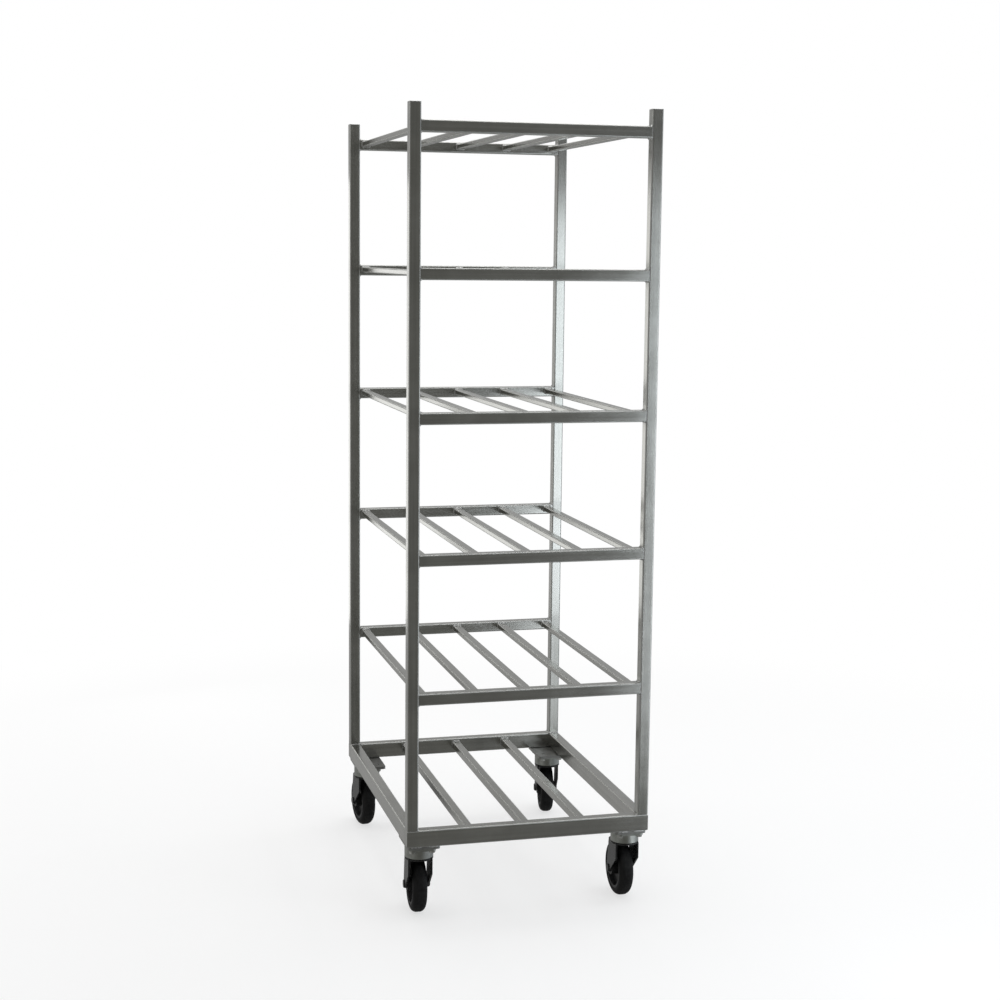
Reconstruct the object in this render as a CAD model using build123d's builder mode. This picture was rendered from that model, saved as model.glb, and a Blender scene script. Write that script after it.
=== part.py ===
from build123d import *
import os

# Mobile shelf cart: a welded tube frame with slatted shelves over a slatted base, on four swivel casters.
# Millimetres. +X runs to the cart's right, +Y from its front to its back and +Z up.
# The origin is on the floor, under the middle of the frame.

# Frame, measured over the outside of the posts
frame_width = 555.4
frame_depth = 735.4

# Tube sections: the outside corner of a tube is its inside corner plus its wall
inside_corner = 1.0
post_size = 25.4
post_wall = 2.0
post_rise = 36.6

# End cap of a post
cap_thickness = 2.0
cap_plug_depth = 10.0
cap_plug_clearance = 0.1
cap_edge = 0.8

# Upper shelves: a front and a rear rail with slats between them
shelf_count = 5
shelf_pitch = 304.8
rail_height = 25.4
rail_depth = 25.4
rail_wall = 2.0
slat_count = 5
slat_width = 19.05
slat_height = 12.7
slat_wall = 1.6
slat_drop = 5.0
slat_post_gap = 5.2

# Base frame: mitred rails with slats between the front and the rear one
base_rail_width = 25.4
base_rail_height = 38.1
base_rail_wall = 2.5
base_slat_count = 3
base_slat_width = 19.05
base_slat_height = 19.05
base_slat_wall = 1.6
base_slat_drop = 7.3

# Mounting plate under each corner of the base: its reach is from the swivel axis to the inner edges
mount_thickness = 6.5
mount_margin = 3.0
mount_reach_x = 38.0
mount_reach_y = 58.0
mount_corner = 6.0

# Caster place, from the outside of the frame, and how far its wheel trails behind the swivel axis
swivel_inset_x = 37.7
swivel_inset_y = 51.2
trail = 32.0

# Wheel
wheel_diameter = 127.0
tyre_width = 33.0
tyre_thickness = 16.0
tyre_shoulder = 13.0
rim_width = 31.0
rim_thickness = 6.0
web_width = 9.0
hub_diameter = 32.0
hub_side_clearance = 1.0
bush_diameter = 18.0
press_clearance = 0.02

# Axle: a rivet that clamps the fork's legs on a sleeve
sleeve_diameter = 12.7
axle_diameter = 9.5
running_clearance = 0.05
axle_clearance = 0.1
axle_head_diameter = 18.0
axle_head_height = 2.5
axle_head_edge = 1.5

# Fork
fork_gap = 47.0
leg_thickness = 4.0
leg_front = 21.0
leg_rear = 30.0
leg_knee_height = 97.0
leg_knee_radius = 6.0
leg_end_radius = 10.0
yoke_thickness = 4.0
yoke_bend = 3.0
yoke_edge = 1.2
yoke_clearance = 7.0

# Swivel: kingpin, balls and the two races that hold them
kingpin_diameter = 12.0
kingpin_clearance = 0.1
kingpin_head_diameter = 20.0
kingpin_head_thickness = 4.0
kingpin_head_clearance = 0.3
ball_diameter = 7.0
ball_count = 16
ball_clearance = 0.05
race_radius = 23.5
race_land = 1.5
race_gap = 3.0
race_thickness = 9.0
crown_height = 12.0
dome_gap = 0.5
dome_wall = 3.0
dome_lift = 0.6
dome_edge = 1.2

# Caster plate and the bolts that screw up into the mounting plate
plate_width = 60.0
plate_length = 92.0
plate_thickness = 5.0
plate_corner = 8.0
bolt_spacing_x = 44.0
bolt_spacing_y = 72.0
bolt_diameter = 8.0
bolt_hole_clearance = 0.5
thread_clearance = 0.05
bolt_hex = 13.0
bolt_head_height = 5.3
bolt_end_depth = 0.5

# Side of the frame (X, then Y) that each corner is on, and its fork's heading at rest in degrees
corners = {
    "front_left": (-1, -1, 2.8),
    "front_right": (1, -1, 0.2),
    "rear_left": (-1, 1, -6.2),
    "rear_right": (1, 1, 10.0),
}

# Heights, from the floor up
axle_height = wheel_diameter / 2
yoke_bottom = wheel_diameter + yoke_clearance
yoke_top = yoke_bottom + yoke_thickness
dome_bottom = yoke_top + dome_lift
crown_top = yoke_top + crown_height
ball_height = crown_top + race_gap / 2
race_bottom = crown_top + race_gap
plate_bottom = race_bottom + race_thickness
plate_top = plate_bottom + plate_thickness
base_bottom = plate_top + mount_thickness
base_top = base_bottom + base_rail_height
shelf_tops = [base_top + shelf_pitch * (number + 1) for number in range(shelf_count)]
post_top = shelf_tops[-1] + post_rise

# Places in plan
post_spacing_x = frame_width - post_size
post_spacing_y = frame_depth - post_size
post_gap_x = frame_width - 2 * post_size
rail_gap_y = post_spacing_y - rail_depth
slat_pitch = (post_gap_x - 2 * slat_post_gap - slat_width) / (slat_count - 1)
base_gap_x = frame_width - 2 * base_rail_width
base_gap_y = frame_depth - 2 * base_rail_width
base_slat_pitch = (base_gap_x + base_slat_width) / (base_slat_count + 1)

# Radii of the swivel and of the wheel
ball_radius = ball_diameter / 2
groove_radius = ball_radius + ball_clearance
crown_radius = race_radius + groove_radius + race_land
dome_inside = crown_radius + dome_gap
dome_outside = dome_inside + dome_wall
rim_radius = wheel_diameter / 2 - tyre_thickness
hub_length = fork_gap - 2 * hub_side_clearance
fork_width = fork_gap + 2 * leg_thickness

os.makedirs("parts", exist_ok=True)


def save(part, name):
    """Label a finished piece and write its file."""
    part.label = name
    export_step(part, f"parts/{name}.step")


def tube(plane, width, height, wall, length):
    """A rounded rectangular tube that runs along the plane's normal."""
    with BuildPart() as stock:
        with BuildSketch(plane):
            RectangleRounded(width, height, inside_corner + wall)
            RectangleRounded(width - 2 * wall, height - 2 * wall, inside_corner, mode=Mode.SUBTRACT)
        extrude(amount=length)
    return stock.part


def slat_row(count, pitch, width, height, wall, length, middle_height):
    """A row of slats that run front to back, side by side at one height."""
    start = Plane(origin=(0, -length / 2, middle_height), x_dir=(1, 0, 0), z_dir=(0, 1, 0))
    with BuildPart() as row:
        with BuildSketch(start):
            with GridLocations(pitch, 0, count, 1):
                RectangleRounded(width, height, inside_corner + wall)
                RectangleRounded(width - 2 * wall, height - 2 * wall, inside_corner, mode=Mode.SUBTRACT)
        extrude(amount=length)
    return row.part


def swivel_point(side_x, side_y):
    """Where a caster's swivel axis meets the floor."""
    return (side_x * (frame_width / 2 - swivel_inset_x), side_y * (frame_depth / 2 - swivel_inset_y), 0)


def fork_seat(side_x, side_y, heading):
    """Floor plane under a swivel axis: its x runs along the axle and its y towards the trailing wheel."""
    return Plane(origin=swivel_point(side_x, side_y)).rotated((0, 0, -heading))


def axle_plane(seat, across):
    """Plane square to the axle, this far across from the swivel axis, with its x to the rear and y up."""
    return Plane(origin=seat.from_local_coords((across, 0, 0)), x_dir=seat.y_dir, z_dir=seat.x_dir)


def turning_plane(seat):
    """Upright plane through the swivel axis, with its x outwards and its y up."""
    return Plane(origin=seat.origin, x_dir=seat.x_dir, z_dir=-seat.y_dir)


# Posts
for corner, (side_x, side_y, heading) in corners.items():
    foot = Plane(origin=(side_x * post_spacing_x / 2, side_y * post_spacing_y / 2, base_top))
    post = tube(foot, post_size, post_size, post_wall, post_top - cap_thickness - base_top)
    save(post, f"{corner}_post")

# Post caps
with BuildPart() as post_caps:
    with BuildSketch(Plane.XY.offset(post_top - cap_thickness)):
        with GridLocations(post_spacing_x, post_spacing_y, 2, 2):
            RectangleRounded(post_size, post_size, inside_corner + post_wall)
    extrude(amount=cap_thickness)
    fillet(post_caps.edges().group_by(Axis.Z)[-1], radius=cap_edge)
    plug_size = post_size - 2 * post_wall - 2 * cap_plug_clearance
    with BuildSketch(Plane.XY.offset(post_top - cap_thickness - cap_plug_depth)):
        with GridLocations(post_spacing_x, post_spacing_y, 2, 2):
            RectangleRounded(plug_size, plug_size, inside_corner)
    extrude(amount=cap_plug_depth)
save(post_caps.part, "post_caps")

# Upper shelves, counted from the lowest
for number, shelf_top in enumerate(shelf_tops, start=1):
    rail_middle = shelf_top - rail_height / 2
    for place, side_y in (("front", -1), ("rear", 1)):
        start = Plane(
            origin=(-post_gap_x / 2, side_y * post_spacing_y / 2, rail_middle),
            x_dir=(0, 1, 0),
            z_dir=(1, 0, 0),
        )
        shelf_rail = tube(start, rail_depth, rail_height, rail_wall, post_gap_x)
        save(shelf_rail, f"shelf_{number}_{place}_rail")
    slat_middle = shelf_top - slat_drop - slat_height / 2
    slats = slat_row(slat_count, slat_pitch, slat_width, slat_height, slat_wall, rail_gap_y, slat_middle)
    save(slats, f"shelf_{number}_slats")

# Base rails, mitred at the corners
base_middle = base_bottom + base_rail_height / 2
front_left_corner = (-frame_width / 2, -frame_depth / 2, base_middle)
front_right_corner = (frame_width / 2, -frame_depth / 2, base_middle)
rear_left_corner = (-frame_width / 2, frame_depth / 2, base_middle)
with BuildPart() as base_front_rail:
    front_middle_y = -frame_depth / 2 + base_rail_width / 2
    start = Plane(origin=(-frame_width / 2, front_middle_y, base_middle), x_dir=(0, 1, 0), z_dir=(1, 0, 0))
    add(tube(start, base_rail_width, base_rail_height, base_rail_wall, frame_width))
    split(bisect_by=Plane(origin=front_left_corner, z_dir=(1, -1, 0)), keep=Keep.TOP)
    split(bisect_by=Plane(origin=front_right_corner, z_dir=(-1, -1, 0)), keep=Keep.TOP)
with BuildPart() as base_left_rail:
    left_middle_x = -frame_width / 2 + base_rail_width / 2
    start = Plane(origin=(left_middle_x, -frame_depth / 2, base_middle), x_dir=(1, 0, 0), z_dir=(0, 1, 0))
    add(tube(start, base_rail_width, base_rail_height, base_rail_wall, frame_depth))
    split(bisect_by=Plane(origin=front_left_corner, z_dir=(-1, 1, 0)), keep=Keep.TOP)
    split(bisect_by=Plane(origin=rear_left_corner, z_dir=(-1, -1, 0)), keep=Keep.TOP)
with BuildPart() as base_rear_rail:
    mirror(base_front_rail.part, about=Plane.XZ)
with BuildPart() as base_right_rail:
    mirror(base_left_rail.part, about=Plane.YZ)
save(base_front_rail.part, "base_front_rail")
save(base_rear_rail.part, "base_rear_rail")
save(base_left_rail.part, "base_left_rail")
save(base_right_rail.part, "base_right_rail")

# Base slats
base_slats = slat_row(
    base_slat_count,
    base_slat_pitch,
    base_slat_width,
    base_slat_height,
    base_slat_wall,
    base_gap_y,
    base_top - base_slat_drop - base_slat_height / 2,
)
save(base_slats, "base_slats")

# Mounting plates welded under the corners of the base, tapped for the caster bolts
mount_width = swivel_inset_x - mount_margin + mount_reach_x
mount_length = swivel_inset_y - mount_margin + mount_reach_y
mount_place = (-frame_width / 2 + mount_margin, -frame_depth / 2 + mount_margin, plate_top)
with BuildPart() as mount_front_left:
    with BuildSketch(Plane(origin=mount_place)):
        Rectangle(mount_width, mount_length, align=(Align.MIN, Align.MIN))
    extrude(amount=mount_thickness)
    fillet(mount_front_left.edges().filter_by(Axis.Z), radius=mount_corner)
    with BuildSketch(Plane(origin=swivel_point(-1, -1)).offset(plate_top)):
        with GridLocations(bolt_spacing_x, bolt_spacing_y, 2, 2):
            Circle(bolt_diameter / 2 + thread_clearance)
    extrude(amount=mount_thickness, mode=Mode.SUBTRACT)
with BuildPart() as mount_front_right:
    mirror(mount_front_left.part, about=Plane.YZ)
with BuildPart() as mount_rear_left:
    mirror(mount_front_left.part, about=Plane.XZ)
with BuildPart() as mount_rear_right:
    mirror(mount_front_right.part, about=Plane.XZ)
save(mount_front_left.part, "front_left_mount_plate")
save(mount_front_right.part, "front_right_mount_plate")
save(mount_rear_left.part, "rear_left_mount_plate")
save(mount_rear_right.part, "rear_right_mount_plate")


def caster_plate(seat):
    """Bolted top plate with the domed upper race pressed into it."""
    with BuildPart() as plate:
        with BuildSketch(seat.offset(plate_bottom)):
            RectangleRounded(plate_width, plate_length, plate_corner)
            with GridLocations(bolt_spacing_x, bolt_spacing_y, 2, 2):
                Circle(bolt_diameter / 2 + bolt_hole_clearance, mode=Mode.SUBTRACT)
        extrude(amount=plate_thickness)
        with BuildSketch(seat.offset(race_bottom)):
            Circle(dome_inside)
        extrude(amount=race_thickness)
        with BuildSketch(seat.offset(dome_bottom)):
            Circle(dome_outside)
            Circle(dome_inside, mode=Mode.SUBTRACT)
        extrude(amount=plate_bottom - dome_bottom)
        lower_rims = plate.edges().filter_by(GeomType.CIRCLE).group_by(Axis.Z)[0]
        fillet(lower_rims.sort_by(SortBy.RADIUS)[-1], radius=dome_edge)
        with BuildSketch(seat.offset(race_bottom)):
            Circle(kingpin_diameter / 2 + press_clearance)
        extrude(amount=plate_top - race_bottom, mode=Mode.SUBTRACT)
        with BuildSketch(turning_plane(seat)):
            with Locations((race_radius, ball_height)):
                Circle(groove_radius)
        revolve(axis=Axis(seat.origin, seat.z_dir), mode=Mode.SUBTRACT)
    return plate.part


def yoke_disc(seat):
    """Round middle of the yoke, with rounded rims."""
    with BuildPart() as disc:
        with BuildSketch(seat.offset(yoke_bottom)):
            Circle(dome_outside)
        extrude(amount=yoke_thickness)
        fillet(disc.edges().filter_by(GeomType.CIRCLE), radius=yoke_edge)
    return disc.part


def swivel_fork(seat):
    """Crown with the lower ball race, over a round yoke whose two legs reach back to the axle."""
    with BuildPart() as fork:
        with BuildSketch(seat.offset(yoke_bottom)):
            with Locations((0, -leg_front)):
                Rectangle(fork_width, leg_front + leg_rear, align=(Align.CENTER, Align.MIN))
        extrude(amount=yoke_thickness)
        for across, outwards in ((fork_gap / 2, leg_thickness), (-fork_gap / 2, -leg_thickness)):
            with BuildSketch(axle_plane(seat, across)):
                with Locations((trail, axle_height)):
                    Circle(leg_end_radius)
                with Locations((leg_knee_radius - leg_front, leg_knee_height + leg_knee_radius)):
                    Circle(leg_knee_radius)
                with Locations((-leg_front, yoke_bottom)):
                    Rectangle(leg_front + leg_rear, yoke_thickness, align=(Align.MIN, Align.MIN))
                make_hull()
            extrude(amount=outwards)
        top_edges = fork.edges().filter_by(Axis(seat.origin, seat.y_dir)).group_by(Axis.Z)[-1]
        fillet(top_edges, radius=yoke_bend)
        add(yoke_disc(seat))
        with BuildSketch(seat.offset(yoke_top)):
            Circle(crown_radius)
        extrude(amount=crown_height)
        with BuildSketch(seat.offset(yoke_bottom)):
            Circle(kingpin_diameter / 2 + kingpin_clearance)
        extrude(amount=crown_top - yoke_bottom, mode=Mode.SUBTRACT)
        with BuildSketch(turning_plane(seat)):
            with Locations((race_radius, ball_height)):
                Circle(groove_radius)
        revolve(axis=Axis(seat.origin, seat.z_dir), mode=Mode.SUBTRACT)
        with BuildSketch(axle_plane(seat, -fork_width / 2)):
            with Locations((trail, axle_height)):
                Circle(axle_diameter / 2 + axle_clearance)
        extrude(amount=fork_width, mode=Mode.SUBTRACT)
    return fork.part


def axle(seat):
    """Rivet through both legs, with a low rounded head at each end."""
    with BuildPart() as rivet:
        with BuildSketch(axle_plane(seat, -fork_width / 2)):
            with Locations((trail, axle_height)):
                Circle(axle_diameter / 2)
        extrude(amount=fork_width)
        for across, outwards in ((fork_width / 2, axle_head_height), (-fork_width / 2, -axle_head_height)):
            with BuildSketch(axle_plane(seat, across)):
                with Locations((trail, axle_height)):
                    Circle(axle_head_diameter / 2)
            extrude(amount=outwards)
        ends = rivet.edges().filter_by(GeomType.CIRCLE).group_by(Axis(seat.origin, seat.x_dir))
        fillet(ends[0] + ends[-1], radius=axle_head_edge)
    return rivet.part


def axle_sleeve(seat):
    """Sleeve that the wheel turns on, as long as the gap between the legs."""
    with BuildPart() as sleeve:
        with BuildSketch(axle_plane(seat, -fork_gap / 2)):
            with Locations((trail, axle_height)):
                Circle(sleeve_diameter / 2)
                Circle(axle_diameter / 2 + axle_clearance, mode=Mode.SUBTRACT)
        extrude(amount=fork_gap)
    return sleeve.part


def wheel_ring(seat, outside, inside, width):
    """A ring on the axle line, centred across the fork."""
    with BuildPart() as ring:
        with BuildSketch(axle_plane(seat, -width / 2)):
            with Locations((trail, axle_height)):
                Circle(outside)
                Circle(inside, mode=Mode.SUBTRACT)
        extrude(amount=width)
    return ring.part


def tyre(seat):
    """Tyre with rounded shoulders."""
    with BuildPart() as tread:
        add(wheel_ring(seat, wheel_diameter / 2, rim_radius + press_clearance, tyre_width))
        shoulders = tread.edges().filter_by(GeomType.CIRCLE).sort_by(SortBy.RADIUS)[-2:]
        fillet(shoulders, radius=tyre_shoulder)
    return tread.part


def wheel_core(seat):
    """Hub and rim, joined by a thinner web."""
    with BuildPart() as core:
        add(wheel_ring(seat, hub_diameter / 2, bush_diameter / 2, hub_length))
        add(wheel_ring(seat, rim_radius, hub_diameter / 2, web_width))
        add(wheel_ring(seat, rim_radius, rim_radius - rim_thickness, rim_width))
    return core.part


def wheel_bush(seat):
    """Plain bush, pressed into the hub and running on the sleeve."""
    outside = bush_diameter / 2 - press_clearance
    inside = sleeve_diameter / 2 + running_clearance
    return wheel_ring(seat, outside, inside, hub_length)


# Casters
for corner, (side_x, side_y, heading) in corners.items():
    seat = fork_seat(side_x, side_y, heading)
    save(caster_plate(Plane(origin=swivel_point(side_x, side_y))), f"{corner}_caster_plate")
    save(swivel_fork(seat), f"{corner}_fork")
    save(axle(seat), f"{corner}_axle")
    save(axle_sleeve(seat), f"{corner}_axle_sleeve")
    save(tyre(seat), f"{corner}_tyre")
    save(wheel_core(seat), f"{corner}_wheel_core")
    save(wheel_bush(seat), f"{corner}_wheel_bush")

# Kingpins, flush with the tops of the plates, with their heads under the yokes
swivel_spacing_x = frame_width - 2 * swivel_inset_x
swivel_spacing_y = frame_depth - 2 * swivel_inset_y
kingpin_head_top = yoke_bottom - kingpin_head_clearance
with BuildPart() as kingpins:
    with BuildSketch(Plane.XY.offset(kingpin_head_top)):
        with GridLocations(swivel_spacing_x, swivel_spacing_y, 2, 2):
            Circle(kingpin_diameter / 2)
    extrude(amount=plate_top - kingpin_head_top)
    with BuildSketch(Plane.XY.offset(kingpin_head_top)):
        with GridLocations(swivel_spacing_x, swivel_spacing_y, 2, 2):
            Circle(kingpin_head_diameter / 2)
    extrude(amount=-kingpin_head_thickness)
save(kingpins.part, "kingpins")

# Swivel balls, in one ring for each caster
with BuildPart() as swivel_balls:
    with Locations((0, 0, ball_height)):
        with GridLocations(swivel_spacing_x, swivel_spacing_y, 2, 2):
            with PolarLocations(race_radius, ball_count):
                Sphere(ball_radius)
save(swivel_balls.part, "swivel_balls")

# Bolts that hold the caster plates to the mounting plates
bolt_reach = plate_thickness + mount_thickness - bolt_end_depth
with BuildPart() as caster_fasteners:
    with BuildSketch(Plane.XY.offset(plate_bottom)):
        with GridLocations(swivel_spacing_x, swivel_spacing_y, 2, 2):
            with GridLocations(bolt_spacing_x, bolt_spacing_y, 2, 2):
                RegularPolygon(bolt_hex / 2, 6, major_radius=False)
    extrude(amount=-bolt_head_height)
    with BuildSketch(Plane.XY.offset(plate_bottom)):
        with GridLocations(swivel_spacing_x, swivel_spacing_y, 2, 2):
            with GridLocations(bolt_spacing_x, bolt_spacing_y, 2, 2):
                Circle(bolt_diameter / 2)
    extrude(amount=bolt_reach)
save(caster_fasteners.part, "caster_fasteners")
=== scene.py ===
"""Looks of the mobile shelf cart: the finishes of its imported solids, its weld beads, and a plain studio."""
import logging
import math
from dataclasses import dataclass, replace
from enum import Enum
from typing import Any, Iterable, Optional, Sequence, Union

import bmesh
import bpy
from mathutils import Matrix, Vector


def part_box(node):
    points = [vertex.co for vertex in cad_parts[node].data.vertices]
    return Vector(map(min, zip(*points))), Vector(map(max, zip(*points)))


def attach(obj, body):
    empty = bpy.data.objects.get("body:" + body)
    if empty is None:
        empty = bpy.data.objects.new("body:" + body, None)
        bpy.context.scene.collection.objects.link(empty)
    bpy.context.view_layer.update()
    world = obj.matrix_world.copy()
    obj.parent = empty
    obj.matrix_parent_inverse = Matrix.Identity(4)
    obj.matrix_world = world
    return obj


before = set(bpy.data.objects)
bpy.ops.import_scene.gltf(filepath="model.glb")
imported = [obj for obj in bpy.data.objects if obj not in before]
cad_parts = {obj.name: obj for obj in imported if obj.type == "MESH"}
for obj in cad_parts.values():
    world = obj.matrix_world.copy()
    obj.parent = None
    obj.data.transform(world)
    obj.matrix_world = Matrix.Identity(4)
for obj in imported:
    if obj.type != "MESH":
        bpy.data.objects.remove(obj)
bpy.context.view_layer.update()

LOG = logging.getLogger("shelf_cart")
MM = 0.001
QUARTER_TURN = math.pi / 2

Colour = tuple[float, float, float]
Point = tuple[float, float, float]
Span = tuple[float, float]
Operand = Union["Wire", float]
Material = bpy.types.Material
Mesh = bpy.types.Mesh
Shape = bmesh.types.BMesh
Ring = Sequence[bmesh.types.BMVert]

CORNERS = ("front_left", "front_right", "rear_left", "rear_right")
SHELF_NUMBERS = (1, 2, 3, 4, 5)
SIDES = (-1, 1)
WHITE: Colour = (1.0, 1.0, 1.0)

# Numbers of the Mix node's sockets for colours.
MIX_FACTOR = 0
MIX_FIRST = 6
MIX_SECOND = 7
MIX_RESULT = 2


class Run(Enum):
    """Axis that a tube was drawn along."""

    X = 0
    Y = 1
    Z = 2

    @property
    def across(self) -> tuple[int, int]:
        """Return the two axes square to the run."""
        return ((self.value + 1) % 3, (self.value + 2) % 3)


class Slot(Enum):
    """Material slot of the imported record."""

    TUBE = "aluminium_tube"


class Wire:
    """A shader socket that takes part in Python arithmetic, with a Math node for each operation."""

    def __init__(self, graph: "NodeGraph", socket: bpy.types.NodeSocket) -> None:
        """Keep the socket and the graph that it belongs to."""
        self.graph = graph
        self.socket = socket

    def _math(self, operation: str, *operands: Operand) -> "Wire":
        """Add one Math node on these operands."""
        return self.graph.node("ShaderNodeMath", {"operation": operation}, dict(enumerate(operands)))

    def __add__(self, other: Operand) -> "Wire":
        """Add a value."""
        return self._math("ADD", self, other)

    __radd__ = __add__

    def __sub__(self, other: Operand) -> "Wire":
        """Take a value away."""
        return self._math("SUBTRACT", self, other)

    def __rsub__(self, other: Operand) -> "Wire":
        """Take this from a value."""
        return self._math("SUBTRACT", other, self)

    def __mul__(self, other: Operand) -> "Wire":
        """Multiply by a value."""
        return self._math("MULTIPLY", self, other)

    __rmul__ = __mul__

    def __abs__(self) -> "Wire":
        """Drop the sign."""
        return self._math("ABSOLUTE", self)

    def __gt__(self, other: Operand) -> "Wire":
        """Give 1 where this is the larger."""
        return self._math("GREATER_THAN", self, other)

    def wrapped(self, period: float) -> "Wire":
        """Repeat a length with this period, centred on zero."""
        return self._math("WRAP", self, period / 2, -period / 2)

    def at_most(self, other: Operand) -> "Wire":
        """Give the smaller of the two."""
        return self._math("MINIMUM", self, other)

    def step(self, low: float, high: float) -> "Wire":
        """Rise smoothly from 0 at the low level to 1 at the high one."""
        sockets = {"Value": self, "From Min": low, "From Max": high}
        return self.graph.node("ShaderNodeMapRange", {"interpolation_type": "SMOOTHSTEP"}, sockets)


@dataclass(frozen=True)
class Pattern:
    """Soft noise.

    Attributes:
        density: Features per metre, as one number or as one for each axis.
        detail: Number of finer layers.
        roughness: Weight of each finer layer.
        levels: Values of the noise between which what it marks fades in.
    """

    density: Union[float, Point]
    detail: float = 2.0
    roughness: float = 0.55
    levels: Span = (0.3, 0.7)

    def along(self, run: Run) -> "Pattern":
        """Turn a pattern that is written for a run along X to another run."""
        on_run, across = self.density[:2]
        return replace(self, density=tuple(on_run if axis == run.value else across for axis in range(3)))


class NodeGraph:
    """A node tree that is filled through one method."""

    def __init__(self, tree: bpy.types.NodeTree) -> None:
        """Start from an empty tree."""
        self.tree = tree
        tree.nodes.clear()

    @classmethod
    def of_material(cls, name: str) -> tuple[Material, "NodeGraph"]:
        """Make a material.

        Args:
            name: The material's name.

        Returns:
            The material and its empty graph.
        """
        material = bpy.data.materials.new(name)
        material.use_nodes = True
        return material, cls(material.node_tree)

    def node(
        self,
        kind: str,
        settings: Optional[dict[str, Any]] = None,
        sockets: Optional[dict[Union[int, str], Any]] = None,
        output: Union[int, str] = 0,
    ) -> Wire:
        """Add a node.

        Args:
            kind: The node's type.
            settings: Its properties, which are set first.
            sockets: Values or wires for its inputs, by name or number.
            output: The output to return.

        Returns:
            The chosen output.
        """
        made = self.tree.nodes.new(kind)
        for name, value in (settings or {}).items():
            setattr(made, name, value)
        for name, value in (sockets or {}).items():
            target = made.inputs[name]
            if isinstance(value, Wire):
                self.tree.links.new(value.socket, target)
            elif target.type == "RGBA":
                target.default_value = (*value, 1.0)
            else:
                target.default_value = value
        return Wire(self, made.outputs[output]) if made.outputs else Wire(self, made.inputs[0])

    def place(self) -> Wire:
        """Give the point on the piece, in metres."""
        return self.node("ShaderNodeTexCoord", output="Object")

    def ray(self, kind: str) -> Wire:
        """Give 1 where the ray that looks is of this kind."""
        return self.node("ShaderNodeLightPath", output=kind)

    def split(self, vector: Wire) -> tuple[Wire, ...]:
        """Give a vector's three parts."""
        parts = self.node("ShaderNodeSeparateXYZ", sockets={0: vector})
        return tuple(Wire(self, output) for output in parts.socket.node.outputs)

    def vector_math(self, operation: str, sockets: dict[Union[int, str], Any]) -> Wire:
        """Add one operation on vectors, whose result is a number where it is a length."""
        output = "Value" if operation in ("DISTANCE", "LENGTH") else "Vector"
        return self.node("ShaderNodeVectorMath", {"operation": operation}, sockets, output)

    def noise(self, place: Wire, pattern: Pattern) -> Wire:
        """Add soft noise.

        Args:
            place: The point on the piece.
            pattern: The noise's density and layers.

        Returns:
            A value from 0 to 1.
        """
        scale = pattern.density
        if isinstance(scale, tuple):
            place = self.vector_math("MULTIPLY", {0: place, 1: scale})
            scale = 1.0
        layers = {"Detail": pattern.detail, "Roughness": pattern.roughness}
        return self.node("ShaderNodeTexNoise", sockets={"Vector": place, "Scale": scale, **layers})

    def spots(self, place: Wire, pattern: Pattern) -> Wire:
        """Give 1 where a pattern is over its levels, and 0 where it is under them."""
        return self.noise(place, pattern).step(*pattern.levels)

    def mix(self, factor: Operand, first: Union[Wire, Colour], second: Union[Wire, Colour]) -> Wire:
        """Blend two colours, with the factor as the second one's share."""
        sockets = {MIX_FACTOR: factor, MIX_FIRST: first, MIX_SECOND: second}
        return self.node("ShaderNodeMix", {"data_type": "RGBA"}, sockets, MIX_RESULT)

    def surface(self, sockets: dict[str, Any]) -> None:
        """Finish a material with one principled surface."""
        shader = self.node("ShaderNodeBsdfPrincipled", sockets=sockets)
        self.node("ShaderNodeOutputMaterial", sockets={"Surface": shader})


@dataclass(frozen=True)
class Relief:
    """Fine relief of a surface.

    Attributes:
        height: Height that a pattern's full range stands for.
        strength: Share of it that shows.
    """

    height: float
    strength: float

    def over(self, graph: NodeGraph, pattern: Wire) -> Wire:
        """Give the normal over a pattern's relief."""
        sockets = {"Height": pattern, "Distance": self.height, "Strength": self.strength}
        return graph.node("ShaderNodeBump", sockets=sockets)


@dataclass(frozen=True)
class Marks:
    """Fine scratches or specks.

    Attributes:
        pattern: Pattern of the marks.
        patches: Pattern of the places where they gather, or None for everywhere.
        strength: Share of the marks' colour on a mark.
        roughness: Roughness that a mark adds.
    """

    pattern: Pattern
    patches: Optional[Pattern] = None
    strength: float = 0.0
    roughness: float = 0.0

    def draw(self, graph: NodeGraph, place: Wire) -> Wire:
        """Give 1 on a mark and 0 beside it."""
        marks = graph.spots(place, self.pattern)
        return marks * graph.spots(place, self.patches) if self.patches else marks


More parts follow.
